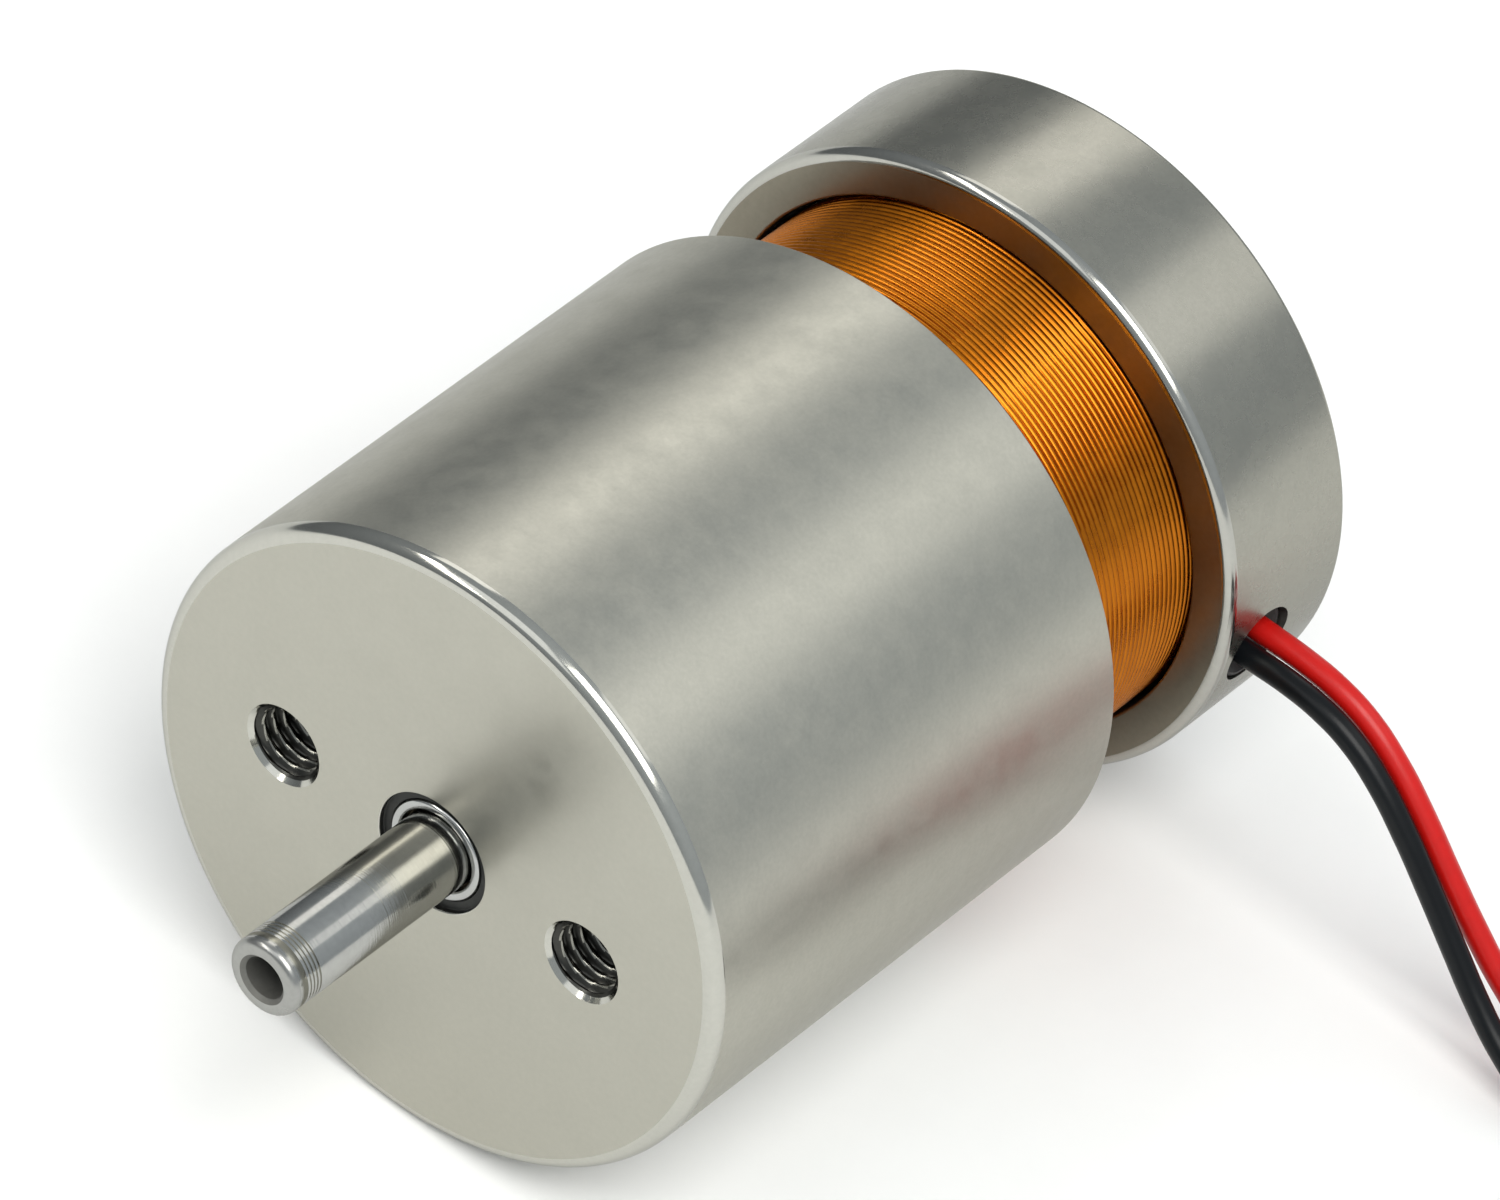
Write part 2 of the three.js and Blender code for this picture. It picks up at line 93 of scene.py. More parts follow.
# Bushes: the outside radius of each and where it starts and ends, then the lip of the steel
# shell in front of the liner, and the liner
FRONT_BUSH = (3.97, 0.25, 9.8)
REAR_BUSH = (4.95, 29.6, 41.4)
FRONT_BUSH_SEAT_R = 4.02
BUSH_SPLIT_R = 3.45
BUSH_LIP_R = 3.2
BUSH_LIP = 0.8
LINER_R = 3.38
LINER_BORE_R = 3.04
LINER_START = 1
LINER_SETBACK = 0.3

# Coil assembly
CUP_BORE_R = 21.1
CUP_RIM = 0.8
CUP_REAR_EDGE = 0.5
CUP_FLOOR = CUP_REAR - 5.5
HUB_R = 7
HUB_FRONT = CUP_FLOOR - 3
SHAFT_R = 3
JOURNAL_R = 2.5
SHAFT_HOLE_R = 1.65
TIP_MOUTH_R = 1.95
TIP_ROUND = 0.6
WIRE_PITCH = 0.5
SCREW_CIRCLE_R = 16.6
SCREW_COUNT = 4
SCREW_HEAD_R = 2.7
SCREW_SHANK_R = 1.25
LEAD_EXIT = (61.2, -2.55)
LEAD_HOLE_R = 3.2

# A face with its middle this close to a plane lies in it
FLAT = 0.01
# An edge that turns by more than this stays crisp
SHARP_DEGREES = 30


# ---------------------------------------------------------------- camera

def add_camera():
    place = Vector((0.3655, -0.5899, 0.7143))
    aim = Vector((0.0072, -0.0043, 0.0404))
    roll = math.radians(12.2)
    data = bpy.data.cameras.new("camera")
    data.sensor_width = 36
    data.lens = 340.9
    data.clip_start = 0.05
    data.clip_end = 20
    camera = bpy.data.objects.new("camera", data)
    camera.rotation_mode = "QUATERNION"
    camera.location = place
    camera.rotation_quaternion = (aim - place).to_track_quat("-Z", "Y") @ Quaternion((0, 0, 1), roll)
    bpy.context.collection.objects.link(camera)
    bpy.context.scene.camera = camera


add_camera()


# ---------------------------------------------------------------- procedural finishes

class Nodes:
    """Adds and joins shader nodes in one material."""

    def __init__(self, name):
        self.material = bpy.data.materials.new(name)
        self.material.use_nodes = True
        self.tree = self.material.node_tree
        self.shader = self.tree.nodes["Principled BSDF"]

    def add(self, kind, **inputs):
        """A new node with some inputs set or joined. In a name, _ stands for a space."""
        node = self.tree.nodes.new(kind)
        for key, value in inputs.items():
            self.put(node.inputs[key.replace("_", " ")], value)
        return node

    def put(self, socket, value):
        if isinstance(value, bpy.types.NodeSocket):
            self.tree.links.new(value, socket)
        else:
            socket.default_value = value

    def math(self, operation, first, second=0.0):
        node = self.tree.nodes.new("ShaderNodeMath")
        node.operation = operation
        self.put(node.inputs[0], first)
        self.put(node.inputs[1], second)
        return node.outputs[0]

    def span(self, value, low, high):
        """A noise value, mostly between 0.25 and 0.75, spread between low and high."""
        node = self.add("ShaderNodeMapRange", Value=value, From_Min=0.25, From_Max=0.75,
                        To_Min=low, To_Max=high)
        return node.outputs[0]

    def blend(self, factor, dark, light):
        """Mixes two colours. Sockets of a mix node share names, so numbers pick its colour ones."""
        node = self.tree.nodes.new("ShaderNodeMix")
        node.data_type = "RGBA"
        self.put(node.inputs[0], factor)
        self.put(node.inputs[6], dark)
        self.put(node.inputs[7], light)
        return node.outputs[2]

    def noise(self, size, detail=3.0, vector=None, line=None):
        """Noise with features of the given size in metres, in space or along one distance."""
        node = self.add("ShaderNodeTexNoise", Detail=detail, Roughness=0.6, Scale=1 / size)
        if line is None:
            self.put(node.inputs["Vector"], vector)
        else:
            node.noise_dimensions = "1D"
            self.put(node.inputs["W"], line)
        return node.outputs["Fac"]


# How much of its mirror brightness a metal keeps where it is seen at a glancing angle
EDGE_TINT = (0.65, 0.65, 0.65, 1)


def scaled(color, factor):
    return tuple(min(1, part * factor) for part in color)


def grain_height(nodes, place, grain, size):
    """A height that varies along the motor, out from its axis, or in every direction."""
    parts = nodes.add("ShaderNodeSeparateXYZ", Vector=place).outputs
    if grain == "turned":
        return nodes.noise(size, detail=2.0, line=parts["Y"])
    if grain == "faced":
        rise = nodes.math("SUBTRACT", parts["Z"], AXIS_Z)
        squares = nodes.math("ADD", nodes.math("MULTIPLY", parts["X"], parts["X"]),
                             nodes.math("MULTIPLY", rise, rise))
        return nodes.noise(size, detail=2.0, line=nodes.math("SQRT", squares))
    return nodes.noise(size, detail=2.0, vector=place)


def finish(name, color, metallic, roughness, mottle, mottle_size, grain, grain_size, grain_depth,
           specular=None):
    """A material with mottled colour and roughness, and a grain in its surface.

    grain is "turned" for fine rings round the axis, "faced" for rings on a faced end,
    "fine" for an even texture. Sizes and depth are in millimetres."""
    rough_spread = 0.15
    nodes = Nodes(name)
    place = nodes.add("ShaderNodeTexCoord").outputs["Object"]
    spots = nodes.noise(mottle_size * MM, detail=4.0, vector=place)
    tone = nodes.blend(nodes.span(spots, 0, 1), (*scaled(color, 1 - mottle), 1),
                       (*scaled(color, 1 + mottle), 1))
    nodes.put(nodes.shader.inputs["Base Color"], tone)
    nodes.shader.inputs["Metallic"].default_value = metallic
    if metallic == 1:
        nodes.shader.inputs["Specular Tint"].default_value = EDGE_TINT
    patches = nodes.noise(6 * mottle_size * MM, vector=place)
    rough = nodes.span(patches, roughness * (1 - rough_spread), roughness * (1 + rough_spread))
    nodes.put(nodes.shader.inputs["Roughness"], rough)
    if specular:
        nodes.shader.inputs["Specular IOR Level"].default_value = specular
    height = grain_height(nodes, place, grain, grain_size * MM)
    bump = nodes.add("ShaderNodeBump", Height=height, Strength=1.0, Distance=grain_depth * MM)
    nodes.put(nodes.shader.inputs["Normal"], bump.outputs["Normal"])
    return nodes.material


NICKEL = (0.445, 0.435, 0.378)
STEEL = (0.39, 0.39, 0.37)
FINISHES = {
    "side": finish("nickel_side", NICKEL, 1, 0.36, mottle=0.06, mottle_size=0.35,
                   grain="turned", grain_size=0.22, grain_depth=0.0012),
    "cup_side": finish("cup_side", scaled(NICKEL, 0.78), 1, 0.27, mottle=0.05, mottle_size=0.35,
                       grain="turned", grain_size=0.22, grain_depth=0.001),
    "face": finish("nickel_face", scaled(NICKEL, 0.95), 1, 0.34, mottle=0.03, mottle_size=0.5,
                   grain="faced", grain_size=0.2, grain_depth=0.0008),
    # The cup's front rim face is painted darker than the cup's own nickel, as shade.
    "rim_face": finish("cup_rim_face_painted_shade", (0.26, 0.24, 0.19), 1, 0.34, mottle=0.06, mottle_size=0.5,
                       grain="faced", grain_size=0.2, grain_depth=0.001),
    "edge": finish("nickel_edge", (0.47, 0.465, 0.42), 1, 0.13, mottle=0.04, mottle_size=0.5,
                   grain="turned", grain_size=0.3, grain_depth=0.001),
    "cup_edge": finish("cup_edge", (0.42, 0.415, 0.38), 1, 0.14, mottle=0.04, mottle_size=0.5,
                       grain="turned", grain_size=0.3, grain_depth=0.001),
    # Near-black painted shade for the walls of the nose recess round the front bush.
    "recess": finish("painted_shade_nose_recess", (0.035, 0.036, 0.034), 0.8, 0.5, mottle=0.15, mottle_size=0.4,
                     grain="turned", grain_size=0.15, grain_depth=0.003),
    "bore": finish("cut_bore", (0.36, 0.355, 0.33), 1, 0.3, mottle=0.12, mottle_size=0.4,
                   grain="turned", grain_size=0.15, grain_depth=0.003),
    # Painted shade inside the tapped holes: the thread is painted near-black, and its crests near the
    # mouth a lighter painted shade.
    "thread": finish("thread_painted_shade", (0.055, 0.055, 0.05), 1, 0.3, mottle=0.08, mottle_size=0.4,
                     grain="fine", grain_size=0.15, grain_depth=0.002),
    "crest": finish("thread_crest_painted_shade", (0.26, 0.255, 0.225), 1, 0.26, mottle=0.08, mottle_size=0.4,
                    grain="fine", grain_size=0.15, grain_depth=0.002),
    "shaft": finish("ground_shaft", STEEL, 1, 0.16, mottle=0.06, mottle_size=0.5,
                    grain="turned", grain_size=0.2, grain_depth=0.006),
    "shaft_tip": finish("shaft_tip", scaled(STEEL, 0.85), 1, 0.3, mottle=0.06, mottle_size=0.5,
                        grain="faced", grain_size=0.16, grain_depth=0.002),
    # Painted shade: the dark grey inside the hole in the shaft's tip.
    "tip_hole": finish("tip_hole", (0.15, 0.148, 0.135), 0.6, 0.6, mottle=0.08, mottle_size=0.4,
                       grain="fine", grain_size=0.15, grain_depth=0.003),
    "bright": finish("bright_steel", (0.42, 0.425, 0.415), 1, 0.2, mottle=0.05, mottle_size=0.5,
                     grain="turned", grain_size=0.2, grain_depth=0.002),
    "steel": finish("ground_steel", STEEL, 1, 0.25, mottle=0.06, mottle_size=0.5,
                    grain="turned", grain_size=0.2, grain_depth=0.002),
    "dark_steel": finish("black_oxide", (0.07, 0.072, 0.075), 0.9, 0.38, mottle=0.15,
                         mottle_size=0.4, grain="fine", grain_size=0.2, grain_depth=0.003),
    "magnet": finish("plated_magnet", (0.52, 0.53, 0.54), 1, 0.3, mottle=0.05, mottle_size=0.8,
                     grain="fine", grain_size=0.3, grain_depth=0.003),
    "aluminium": finish("machined_aluminium", (0.62, 0.63, 0.64), 1, 0.35, mottle=0.05,
                        mottle_size=0.5, grain="turned", grain_size=0.2, grain_depth=0.003),
    "bronze": finish("sintered_bronze", (0.11, 0.09, 0.06), 0.9, 0.5, mottle=0.25, mottle_size=0.12,
                     grain="fine", grain_size=0.1, grain_depth=0.01),
    "rubber": finish("black_rubber", (0.018, 0.017, 0.016), 0, 0.7, mottle=0.2, mottle_size=0.5,
                     grain="fine", grain_size=0.12, grain_depth=0.006),
    "nylon": finish("black_nylon", (0.015, 0.015, 0.016), 0, 0.42, mottle=0.15, mottle_size=0.8,
                    grain="fine", grain_size=0.2, grain_depth=0.004),
    "tinned": finish("tinned_strand", (0.62, 0.61, 0.58), 1, 0.28, mottle=0.1, mottle_size=0.3,
                     grain="fine", grain_size=0.1, grain_depth=0.004),
    "red": finish("red_insulation", (0.52, 0.006, 0.004), 0, 0.34, mottle=0.08, mottle_size=1.2,
                  grain="fine", grain_size=0.25, grain_depth=0.005, specular=0.35),
    "black": finish("black_insulation", (0.004, 0.005, 0.006), 0, 0.32, mottle=0.15, mottle_size=1.2,
                    grain="fine", grain_size=0.25, grain_depth=0.005, specular=0.22),
}


def wire_finish():
    """Enamelled copper: a clear amber coat, with turns that differ a little in tone."""
    nodes = Nodes("enamelled_copper")
    place = nodes.add("ShaderNodeTexCoord").outputs["Object"]
    parts = nodes.add("ShaderNodeSeparateXYZ", Vector=place).outputs
    turn_tone = nodes.noise(0.7 * MM, detail=3.0, line=parts["Y"])
    spots = nodes.noise(1.5 * MM, detail=4.0, vector=place)
    mixed = nodes.math("MULTIPLY", nodes.math("ADD", turn_tone, spots), 0.5)
    dark = (0.38, 0.108, 0.003, 1)
    light = (0.54, 0.175, 0.007, 1)
    tone = nodes.blend(nodes.span(mixed, 0, 1), dark, light)
    nodes.put(nodes.shader.inputs["Base Color"], tone)
    nodes.shader.inputs["Metallic"].default_value = 1
    nodes.shader.inputs["Specular Tint"].default_value = EDGE_TINT
    nodes.put(nodes.shader.inputs["Roughness"], nodes.span(spots, 0.24, 0.36))
    nodes.shader.inputs["Coat Weight"].default_value = 0.12
    nodes.shader.inputs["Coat Roughness"].default_value = 0.18
    nodes.shader.inputs["Coat Tint"].default_value = (1.0, 0.72, 0.35, 1)
    return nodes.material


FINISHES["wire"] = wire_finish()


# ---------------------------------------------------------------- turned and threaded solids

def rounded(corners, steps):
    """Outline points from (radius, along) corners. A third number rounds that corner."""
    path = []
    for i, corner in enumerate(corners):
        here = Vector(corner[:2])
        if len(corner) == 2:
            path.append(here)
            continue
        before = (Vector(corners[i - 1][:2]) - here).normalized()
        after = (Vector(corners[(i + 1) % len(corners)][:2]) - here).normalized()
        half = before.angle(after) / 2
        centre = here + (before + after).normalized() * corner[2] / math.sin(half)
        first = (here + before * corner[2] / math.tan(half) - centre).normalized()
        last = (here + after * corner[2] / math.tan(half) - centre).normalized()
        for k in range(steps + 1):
            path.append(centre + first.slerp(last, k / steps) * corner[2])
    return path


def on_motor(x, distance, z):
    return Vector((x * MM, FRONT + distance * MM, AXIS_Z + z * MM))


def smooth(mesh, sharp=SHARP_DEGREES):
    mesh.shade_smooth()
    mesh.set_sharp_from_angle(angle=math.radians(sharp))


def mesh_piece(name, points, faces, sharp=SHARP_DEGREES):
    mesh = bpy.data.meshes.new(name)
    mesh.from_pydata(points, [], faces)
    shape = bmesh.new()
    shape.from_mesh(mesh)
    bmesh.ops.recalc_face_normals(shape, faces=shape.faces)
    shape.to_mesh(mesh)
    shape.free()
    smooth(mesh, sharp)
    piece = bpy.data.objects.new(name, mesh)
    bpy.context.collection.objects.link(piece)
    return piece


def ring_mesh(name, rings, segments, place, turn=0.0, loop=False, capped=False):
    """A solid from rings round an axis. A ring is its distance along the axis and its radius, or
    a function from the angle to the radius. place gives the point at a distance along the axis
    and two offsets from it. turn is the share of a step that the first point is turned by. With
    loop the last ring joins the first, and with capped the end rings are filled."""
    points = []
    indices = []
    for distance, radius in rings:
        first = len(points)
        if radius == 0:
            indices.append([first] * segments)
            points.append(place(distance, 0, 0))
            continue
        indices.append(list(range(first, first + segments)))
        for k in range(segments):
            angle = math.tau * (k + turn) / segments
            reach = radius(angle) if callable(radius) else radius
            points.append(place(distance, reach * math.cos(angle), reach * math.sin(angle)))
    faces = []
    if capped:
        faces += [tuple(indices[0]), tuple(indices[-1])]
    pairs = list(zip(indices, indices[1:]))
    if loop:
        pairs.append((indices[-1], indices[0]))
    for near, far in pairs:
        for k in range(segments):
            following = (k + 1) % segments
            corners = (near[k], near[following], far[following], far[k])
            faces.append(tuple(dict.fromkeys(corners)))
    return mesh_piece(name, points, faces)


def about(x, z):
    """Places for rings round a line along the motor, at x and z."""
    return lambda distance, across, up: on_motor(x + across, distance, z + up)


def about_lead_exit(x, along_offset, up):
    """Places for rings round the line on which the leads leave the cup."""
    return on_motor(x, LEAD_EXIT[0] + along_offset, LEAD_EXIT[1] + up)


def turned(name, corners, segments, centre=(0, 0), steps=5):
    """A solid turned about a line along the motor, from (radius, along) corners."""
    path = rounded(corners, steps)
    rings = [(point.y, point.x) for point in path]
    return ring_mesh(name, rings, segments, about(*centre), turn=0.5, loop=path[0].x > 0)


def thread_radius(distance):
    """The radius of the face holes' thread, with flat crests and roots, for each angle."""
    flat = 0.15

    def at(angle):
        phase = (distance / TAP_PITCH - angle / math.tau) % 1
        rise = min(1, max(0, (abs(2 * phase - 1) - flat) / (1 - 2 * flat)))
        return TAP_MINOR_R + (TAP_MAJOR_R - TAP_MINOR_R) * rise
    return at


def hole_radius(distance):
    """The wider of the thread and the countersink's 45 degree cone, for each angle."""
    thread = thread_radius(distance)
    cone = TAP_MOUTH_R - distance
    return lambda angle: max(cone, thread(angle))


def tapped_hole(name, x):
    """The solid that a tap and a countersink take away from the front face."""
    per_turn = 12
    over = 0.5
    floor_r = 0.9 * TAP_MINOR_R
    drill_point = 0.6
    rings = [(-over, 0), (-over, TAP_MOUTH_R + over), (0, TAP_MOUTH_R)]
    for k in range(1, int(TAP_DEPTH * per_turn / TAP_PITCH)):
        distance = k * TAP_PITCH / per_turn
        rings.append((distance, hole_radius(distance)))
    rings += [(TAP_DEPTH, floor_r), (TAP_DEPTH + drill_point, 0)]
    return ring_mesh(name, rings, 48, about(x, 0), turn=0.5)


def hex_socket(centre, start, across_corners, depth):
    """A six-sided solid, to cut a socket into a screw whose rear end is at start."""
    over = 1
    rings = [(start - depth, across_corners / 2), (start + over, across_corners / 2)]
    return ring_mesh("socket", rings, 6, about(*centre), capped=True)


def cut(piece, cutters):
    """Takes the cutters out of a piece's shape and removes them from the scene."""
    for cutter in cutters:
        boolean = piece.modifiers.new("cut", "BOOLEAN")
        boolean.operation = "DIFFERENCE"
        boolean.solver = "EXACT"
        boolean.object = cutter
    shaped = piece.evaluated_get(bpy.context.evaluated_depsgraph_get())
    mesh = bpy.data.meshes.new_from_object(shaped)
    piece.modifiers.clear()
    piece.data = mesh
    smooth(mesh)
    for cutter in cutters:
        bpy.data.objects.remove(cutter)


def dress(piece, body, finishes, nodes, choose=None):
    """Gives a piece its finishes and body, and hides the CAD nodes it stands for. choose picks a
    finish for each face from where its middle is: the distance along, the radius, x and z."""
    shape = piece.data
    shape.materials.clear()
    for name in finishes:
        shape.materials.append(FINISHES[name])
    if choose:
        for face in shape.polygons:
            middle = face.center
            radius = math.hypot(middle.x, middle.z - AXIS_Z) / MM
            name = choose(along(middle.y), radius, middle.x / MM, (middle.z - AXIS_Z) / MM)
            face.material_index = finishes.index(name)
    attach(piece, body)
    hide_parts(*nodes)


# ---------------------------------------------------------------- leads

LEADS = (
    {
        "colour": "red",
        "side": 1,
        "centre": (0.072, 0.0482),
        "route": (
            (0.0215, 0.03613, 0.02285), (0.0246, 0.03613, 0.02285), (0.028, 0.03613, 0.0228),
            (0.031, 0.03615, 0.0224), (0.034, 0.0362, 0.0213), (0.037, 0.03625, 0.0192),
            (0.040, 0.0363, 0.0163), (0.043, 0.0364, 0.0129), (0.046, 0.0366, 0.0095),
            (0.049, 0.03685, 0.0064), (0.052, 0.0371, 0.0040), (0.055, 0.03735, 0.0024),
            (0.058, 0.0375, 0.0016), (0.061, 0.0376, 0.00135), (0.0652, 0.0376, 0.00135),
        ),
    },
    {
        "colour": "black",
        "side": -1,
        "centre": (0.076, 0.0226),
        "route": (
            (0.0215, 0.03427, 0.02198), (0.0246, 0.03427, 0.02198), (0.028, 0.03422, 0.0221),
            (0.031, 0.03417, 0.02185), (0.034, 0.03418, 0.0209), (0.037, 0.03422, 0.0189),
            (0.040, 0.03427, 0.0160), (0.043, 0.03432, 0.0126), (0.046, 0.03428, 0.0092),
            (0.049, 0.0341, 0.0061), (0.052, 0.0338, 0.00375), (0.055, 0.0335, 0.00225),
            (0.058, 0.0333, 0.00155), (0.061, 0.0332, 0.00135), (0.065, 0.0332, 0.00135),
            (0.0692, 0.0332, 0.00135),
        ),
    },
)
LEAD_D = 0.0019
TURN_R = 0.0106
TURNS = 3.5
TURN_PITCH = 0.00195
POINTS_PER_TURN = 16
FIRST_TURN_HEIGHT = 0.00135
# The tail's centre line: how far it is behind the middle of the wound turns, and how high
TAIL_STEPS = ((0.009, 0.0079), (0.011, 0.0066), (0.013, 0.0042), (0.015, 0.0021), (0.017, 0.0011),
              (0.019, 0.00095))


def lead_points(lead):
    """The centre line of a lead: its free length, its wound turns and its tail."""
    centre_x, centre_y = lead["centre"]
    side = lead["side"]
    points = [Vector(point) for point in lead["route"]]
    count = round(TURNS * POINTS_PER_TURN)
    for k in range(count + 1):
        turn = k / POINTS_PER_TURN
        angle = math.tau * turn
        points.append(Vector((centre_x + TURN_R * math.sin(angle),
                              centre_y - side * TURN_R * math.cos(angle),
                              FIRST_TURN_HEIGHT + turn * TURN_PITCH)))
    for behind, height in TAIL_STEPS:
        points.append(Vector((centre_x - behind, centre_y + side * TURN_R, height)))
    return points


def smooth_curve(name, lines, radius, resolution):
    """Round wires along smooth lines, as one piece."""
    data = bpy.data.curves.new(name, "CURVE")
    data.dimensions = "3D"
    data.bevel_depth = radius
    data.bevel_resolution = 5
    data.resolution_u = resolution
    data.use_fill_caps = True
    for line in lines:
        spline = data.splines.new("BEZIER")
        spline.bezier_points.add(len(line) - 1)
        for knot, point in zip(spline.bezier_points, line):
            knot.co = point
            knot.handle_left_type = "AUTO"
            knot.handle_right_type = "AUTO"
    piece = bpy.data.objects.new(name, data)
    bpy.context.collection.objects.link(piece)
    return piece


def tinned_tip(name, start):
    """Seven twisted strands that stick out of the insulation towards -X."""
    strand_r = 0.0002
    inside = 0.0006
    outside = 0.0053
    steps = 16
    twist = math.tau * 0.8
    strands = [(0, 0)] + [(2 * strand_r, math.tau * strand / 6) for strand in range(6)]
    lines = []
    for reach, first_angle in strands:
        line = []
        for k in range(steps + 1):
            angle = first_angle + twist * k / steps
            onwards = inside - (inside + outside) * k / steps
            line.append(start + Vector((onwards, reach * math.cos(angle), reach * math.sin(angle))))
        lines.append(line)
    return smooth_curve(name, lines, strand_r, resolution=3)


def rounded_frame(middle, half, corner, inset):
    """Points of an upright rectangle in x and z with rounded corners, moved in by inset."""
    steps = 5
    points = []
    for quarter, (side_x, side_z) in enumerate(((1, 1), (-1, 1), (-1, -1), (1, -1))):
        for k in range(steps + 1):
            angle = math.tau * (quarter / 4 + k / steps / 4)
            x = middle[0] + side_x * (half[0] - corner) + (corner - inset) * math.cos(angle)
            z = middle[1] + side_z * (half[1] - corner) + (corner - inset) * math.sin(angle)
            points.append((x, z))
    return points


def lead_tie(name, node):
    """A flat band round the wound lead, with its square head on the outside."""
    low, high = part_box(node)
    middle = ((low[0] + high[0]) / 2, (low[2] + high[2]) / 2)
    half = ((high[0] - low[0]) / 2, (high[2] - low[2]) / 2)
    corner = 0.0008
    wall = 0.0003
    sharp = 40
    points = []
    for inset, y in ((0, low[1]), (0, high[1]), (wall, high[1]), (wall, low[1])):
        points += [(x, y, z) for x, z in rounded_frame(middle, half, corner, inset)]
    count = len(points) // 4
    faces = []
    for ring in range(4):
        following = (ring + 1) % 4
        for k in range(count):
            after = (k + 1) % count
            faces.append((ring * count + k, ring * count + after,
                          following * count + after, following * count + k))
    band = mesh_piece(name, points, faces, sharp)
    add_tie_head(band.data, low, high, middle[1])
    smooth(band.data, sharp)
    return band


def add_tie_head(mesh, low, high, middle_z):
    """A square head with soft edges, on the side of a tie that faces away from the motor."""
    shape = bmesh.new()
    shape.from_mesh(mesh)
    head = bmesh.ops.create_cube(shape, size=1)["verts"]
    head_size = Vector((0.0016, high[1] - low[1] + 0.0010, 0.0030))
    head_place = Vector((high[0] + 0.0005, (low[1] + high[1]) / 2, middle_z))
    for corner_point in head:
        corner_point.co = head_place + corner_point.co * head_size
    edges = {edge for corner_point in head for edge in corner_point.link_edges}
    bmesh.ops.bevel(shape, geom=list(edges), offset=0.0003, segments=3, affect="EDGES")
    shape.to_mesh(mesh)
    shape.free()


def add_lead(lead):
    colour = lead["colour"]
    points = lead_points(lead)
    wire = smooth_curve(f"lead_{colour}_wire", [points], LEAD_D / 2, resolution=6)
    dress(wire, "coil_assembly", [colour],
          [f"lead_{colour}", f"lead_{colour}_coil", f"lead_{colour}_tail"])
    tip = tinned_tip(f"lead_{colour}_strands", points[-1])
    dress(tip, "coil_assembly", ["tinned"], [f"lead_{colour}_tip"])
    tie = lead_tie(f"lead_{colour}_band", f"lead_{colour}_tie")
    dress(tie, "coil_assembly", ["nylon"], [f"lead_{colour}_tie"])


for lead in LEADS:
    add_lead(lead)


# ---------------------------------------------------------------- magnet housing

def housing():
    """The cylinder, with its bore, front plate, nose recess and two tapped holes."""
    corners = [
        (NOSE_R, 0, SOFT_EDGE), (HOUSING_R, 0, FRONT_RIM), (HOUSING_R, HOUSING_END, SOFT_EDGE),
        (HOUSING_BORE_R, HOUSING_END, BORE_EDGE), (HOUSING_BORE_R, FRONT_PLATE),
        (SLEEVE_SEAT_R, FRONT_PLATE), (SLEEVE_SEAT_R, SLEEVE_START),
        (FRONT_BUSH_SEAT_R, SLEEVE_START), (FRONT_BUSH_SEAT_R, NOSE_DEPTH), (NOSE_R, NOSE_DEPTH, 0.1),
    ]
    piece = turned("housing_body", corners, segments=256, steps=10)
    cut(piece, [tapped_hole(f"tap_{side}", side * TAP_X) for side in (-1, 1)])
    below_face = 0.004
    countersink_depth = 0.35
    crest_band = 0.12
    # Deeper than this, the crests are painted in the thread's dark shade.
    painted_shade_crest_depth = 5

    def choose(distance, radius, x, z):
        from_tap = math.hypot(abs(x) - TAP_X, z)
        if from_tap < TAP_MOUTH_R + 0.05 and distance > below_face:
            if distance < countersink_depth:
                return "edge"
            # Crests near the mouth get the lighter painted shade; deeper ones and the thread get the
            # dark painted shade.
            crest = from_tap < TAP_MINOR_R + crest_band and distance < painted_shade_crest_depth
            return "crest" if crest else "thread"
        if radius > HOUSING_R - 0.02 and distance > FRONT_RIM:
            return "side"
        if radius > HOUSING_R - FRONT_RIM and distance < FRONT_RIM:
            return "edge"
        if distance < FLAT:
            return "face"
        # The walls of the nose recess are painted near-black as shade.
        if radius < NOSE_R + 0.3:
            return "edge" if distance < SOFT_EDGE else "recess"
        return "bore"

    finishes = ["side", "face", "edge", "bore", "thread", "crest", "recess"]
    dress(piece, "magnet_housing", finishes, ["housing_shell"], choose)


def bush(place, outer, start, end):
    """A steel shell with a lip at its front, and the bronze liner behind the lip."""
    shell = turned(f"bush_ring_{place}", [
        (BUSH_LIP_R, start, 0.3), (outer, start, 0.3), (outer, end, 0.2), (BUSH_SPLIT_R, end, 0.2),
        (BUSH_SPLIT_R, start + BUSH_LIP), (BUSH_LIP_R, start + BUSH_LIP),
    ], segments=128)
    dress(shell, "magnet_housing", ["bright"], [f"{place}_bush_shell"])
    front = start + LINER_START
    rear = end - LINER_SETBACK
    liner = turned(f"bush_liner_{place}", [
        (LINER_BORE_R, front + 0.1, 0.1), (LINER_BORE_R + 0.08, front, 0.08),
        (LINER_R - 0.08, front, 0.08), (LINER_R, front + 0.15, 0.1), (LINER_R, rear),
        (LINER_BORE_R, rear),
    ], segments=128)
    dress(liner, "magnet_housing", ["bronze"], [f"{place}_bush_liner"])


# ---------------------------------------------------------------- coil assembly

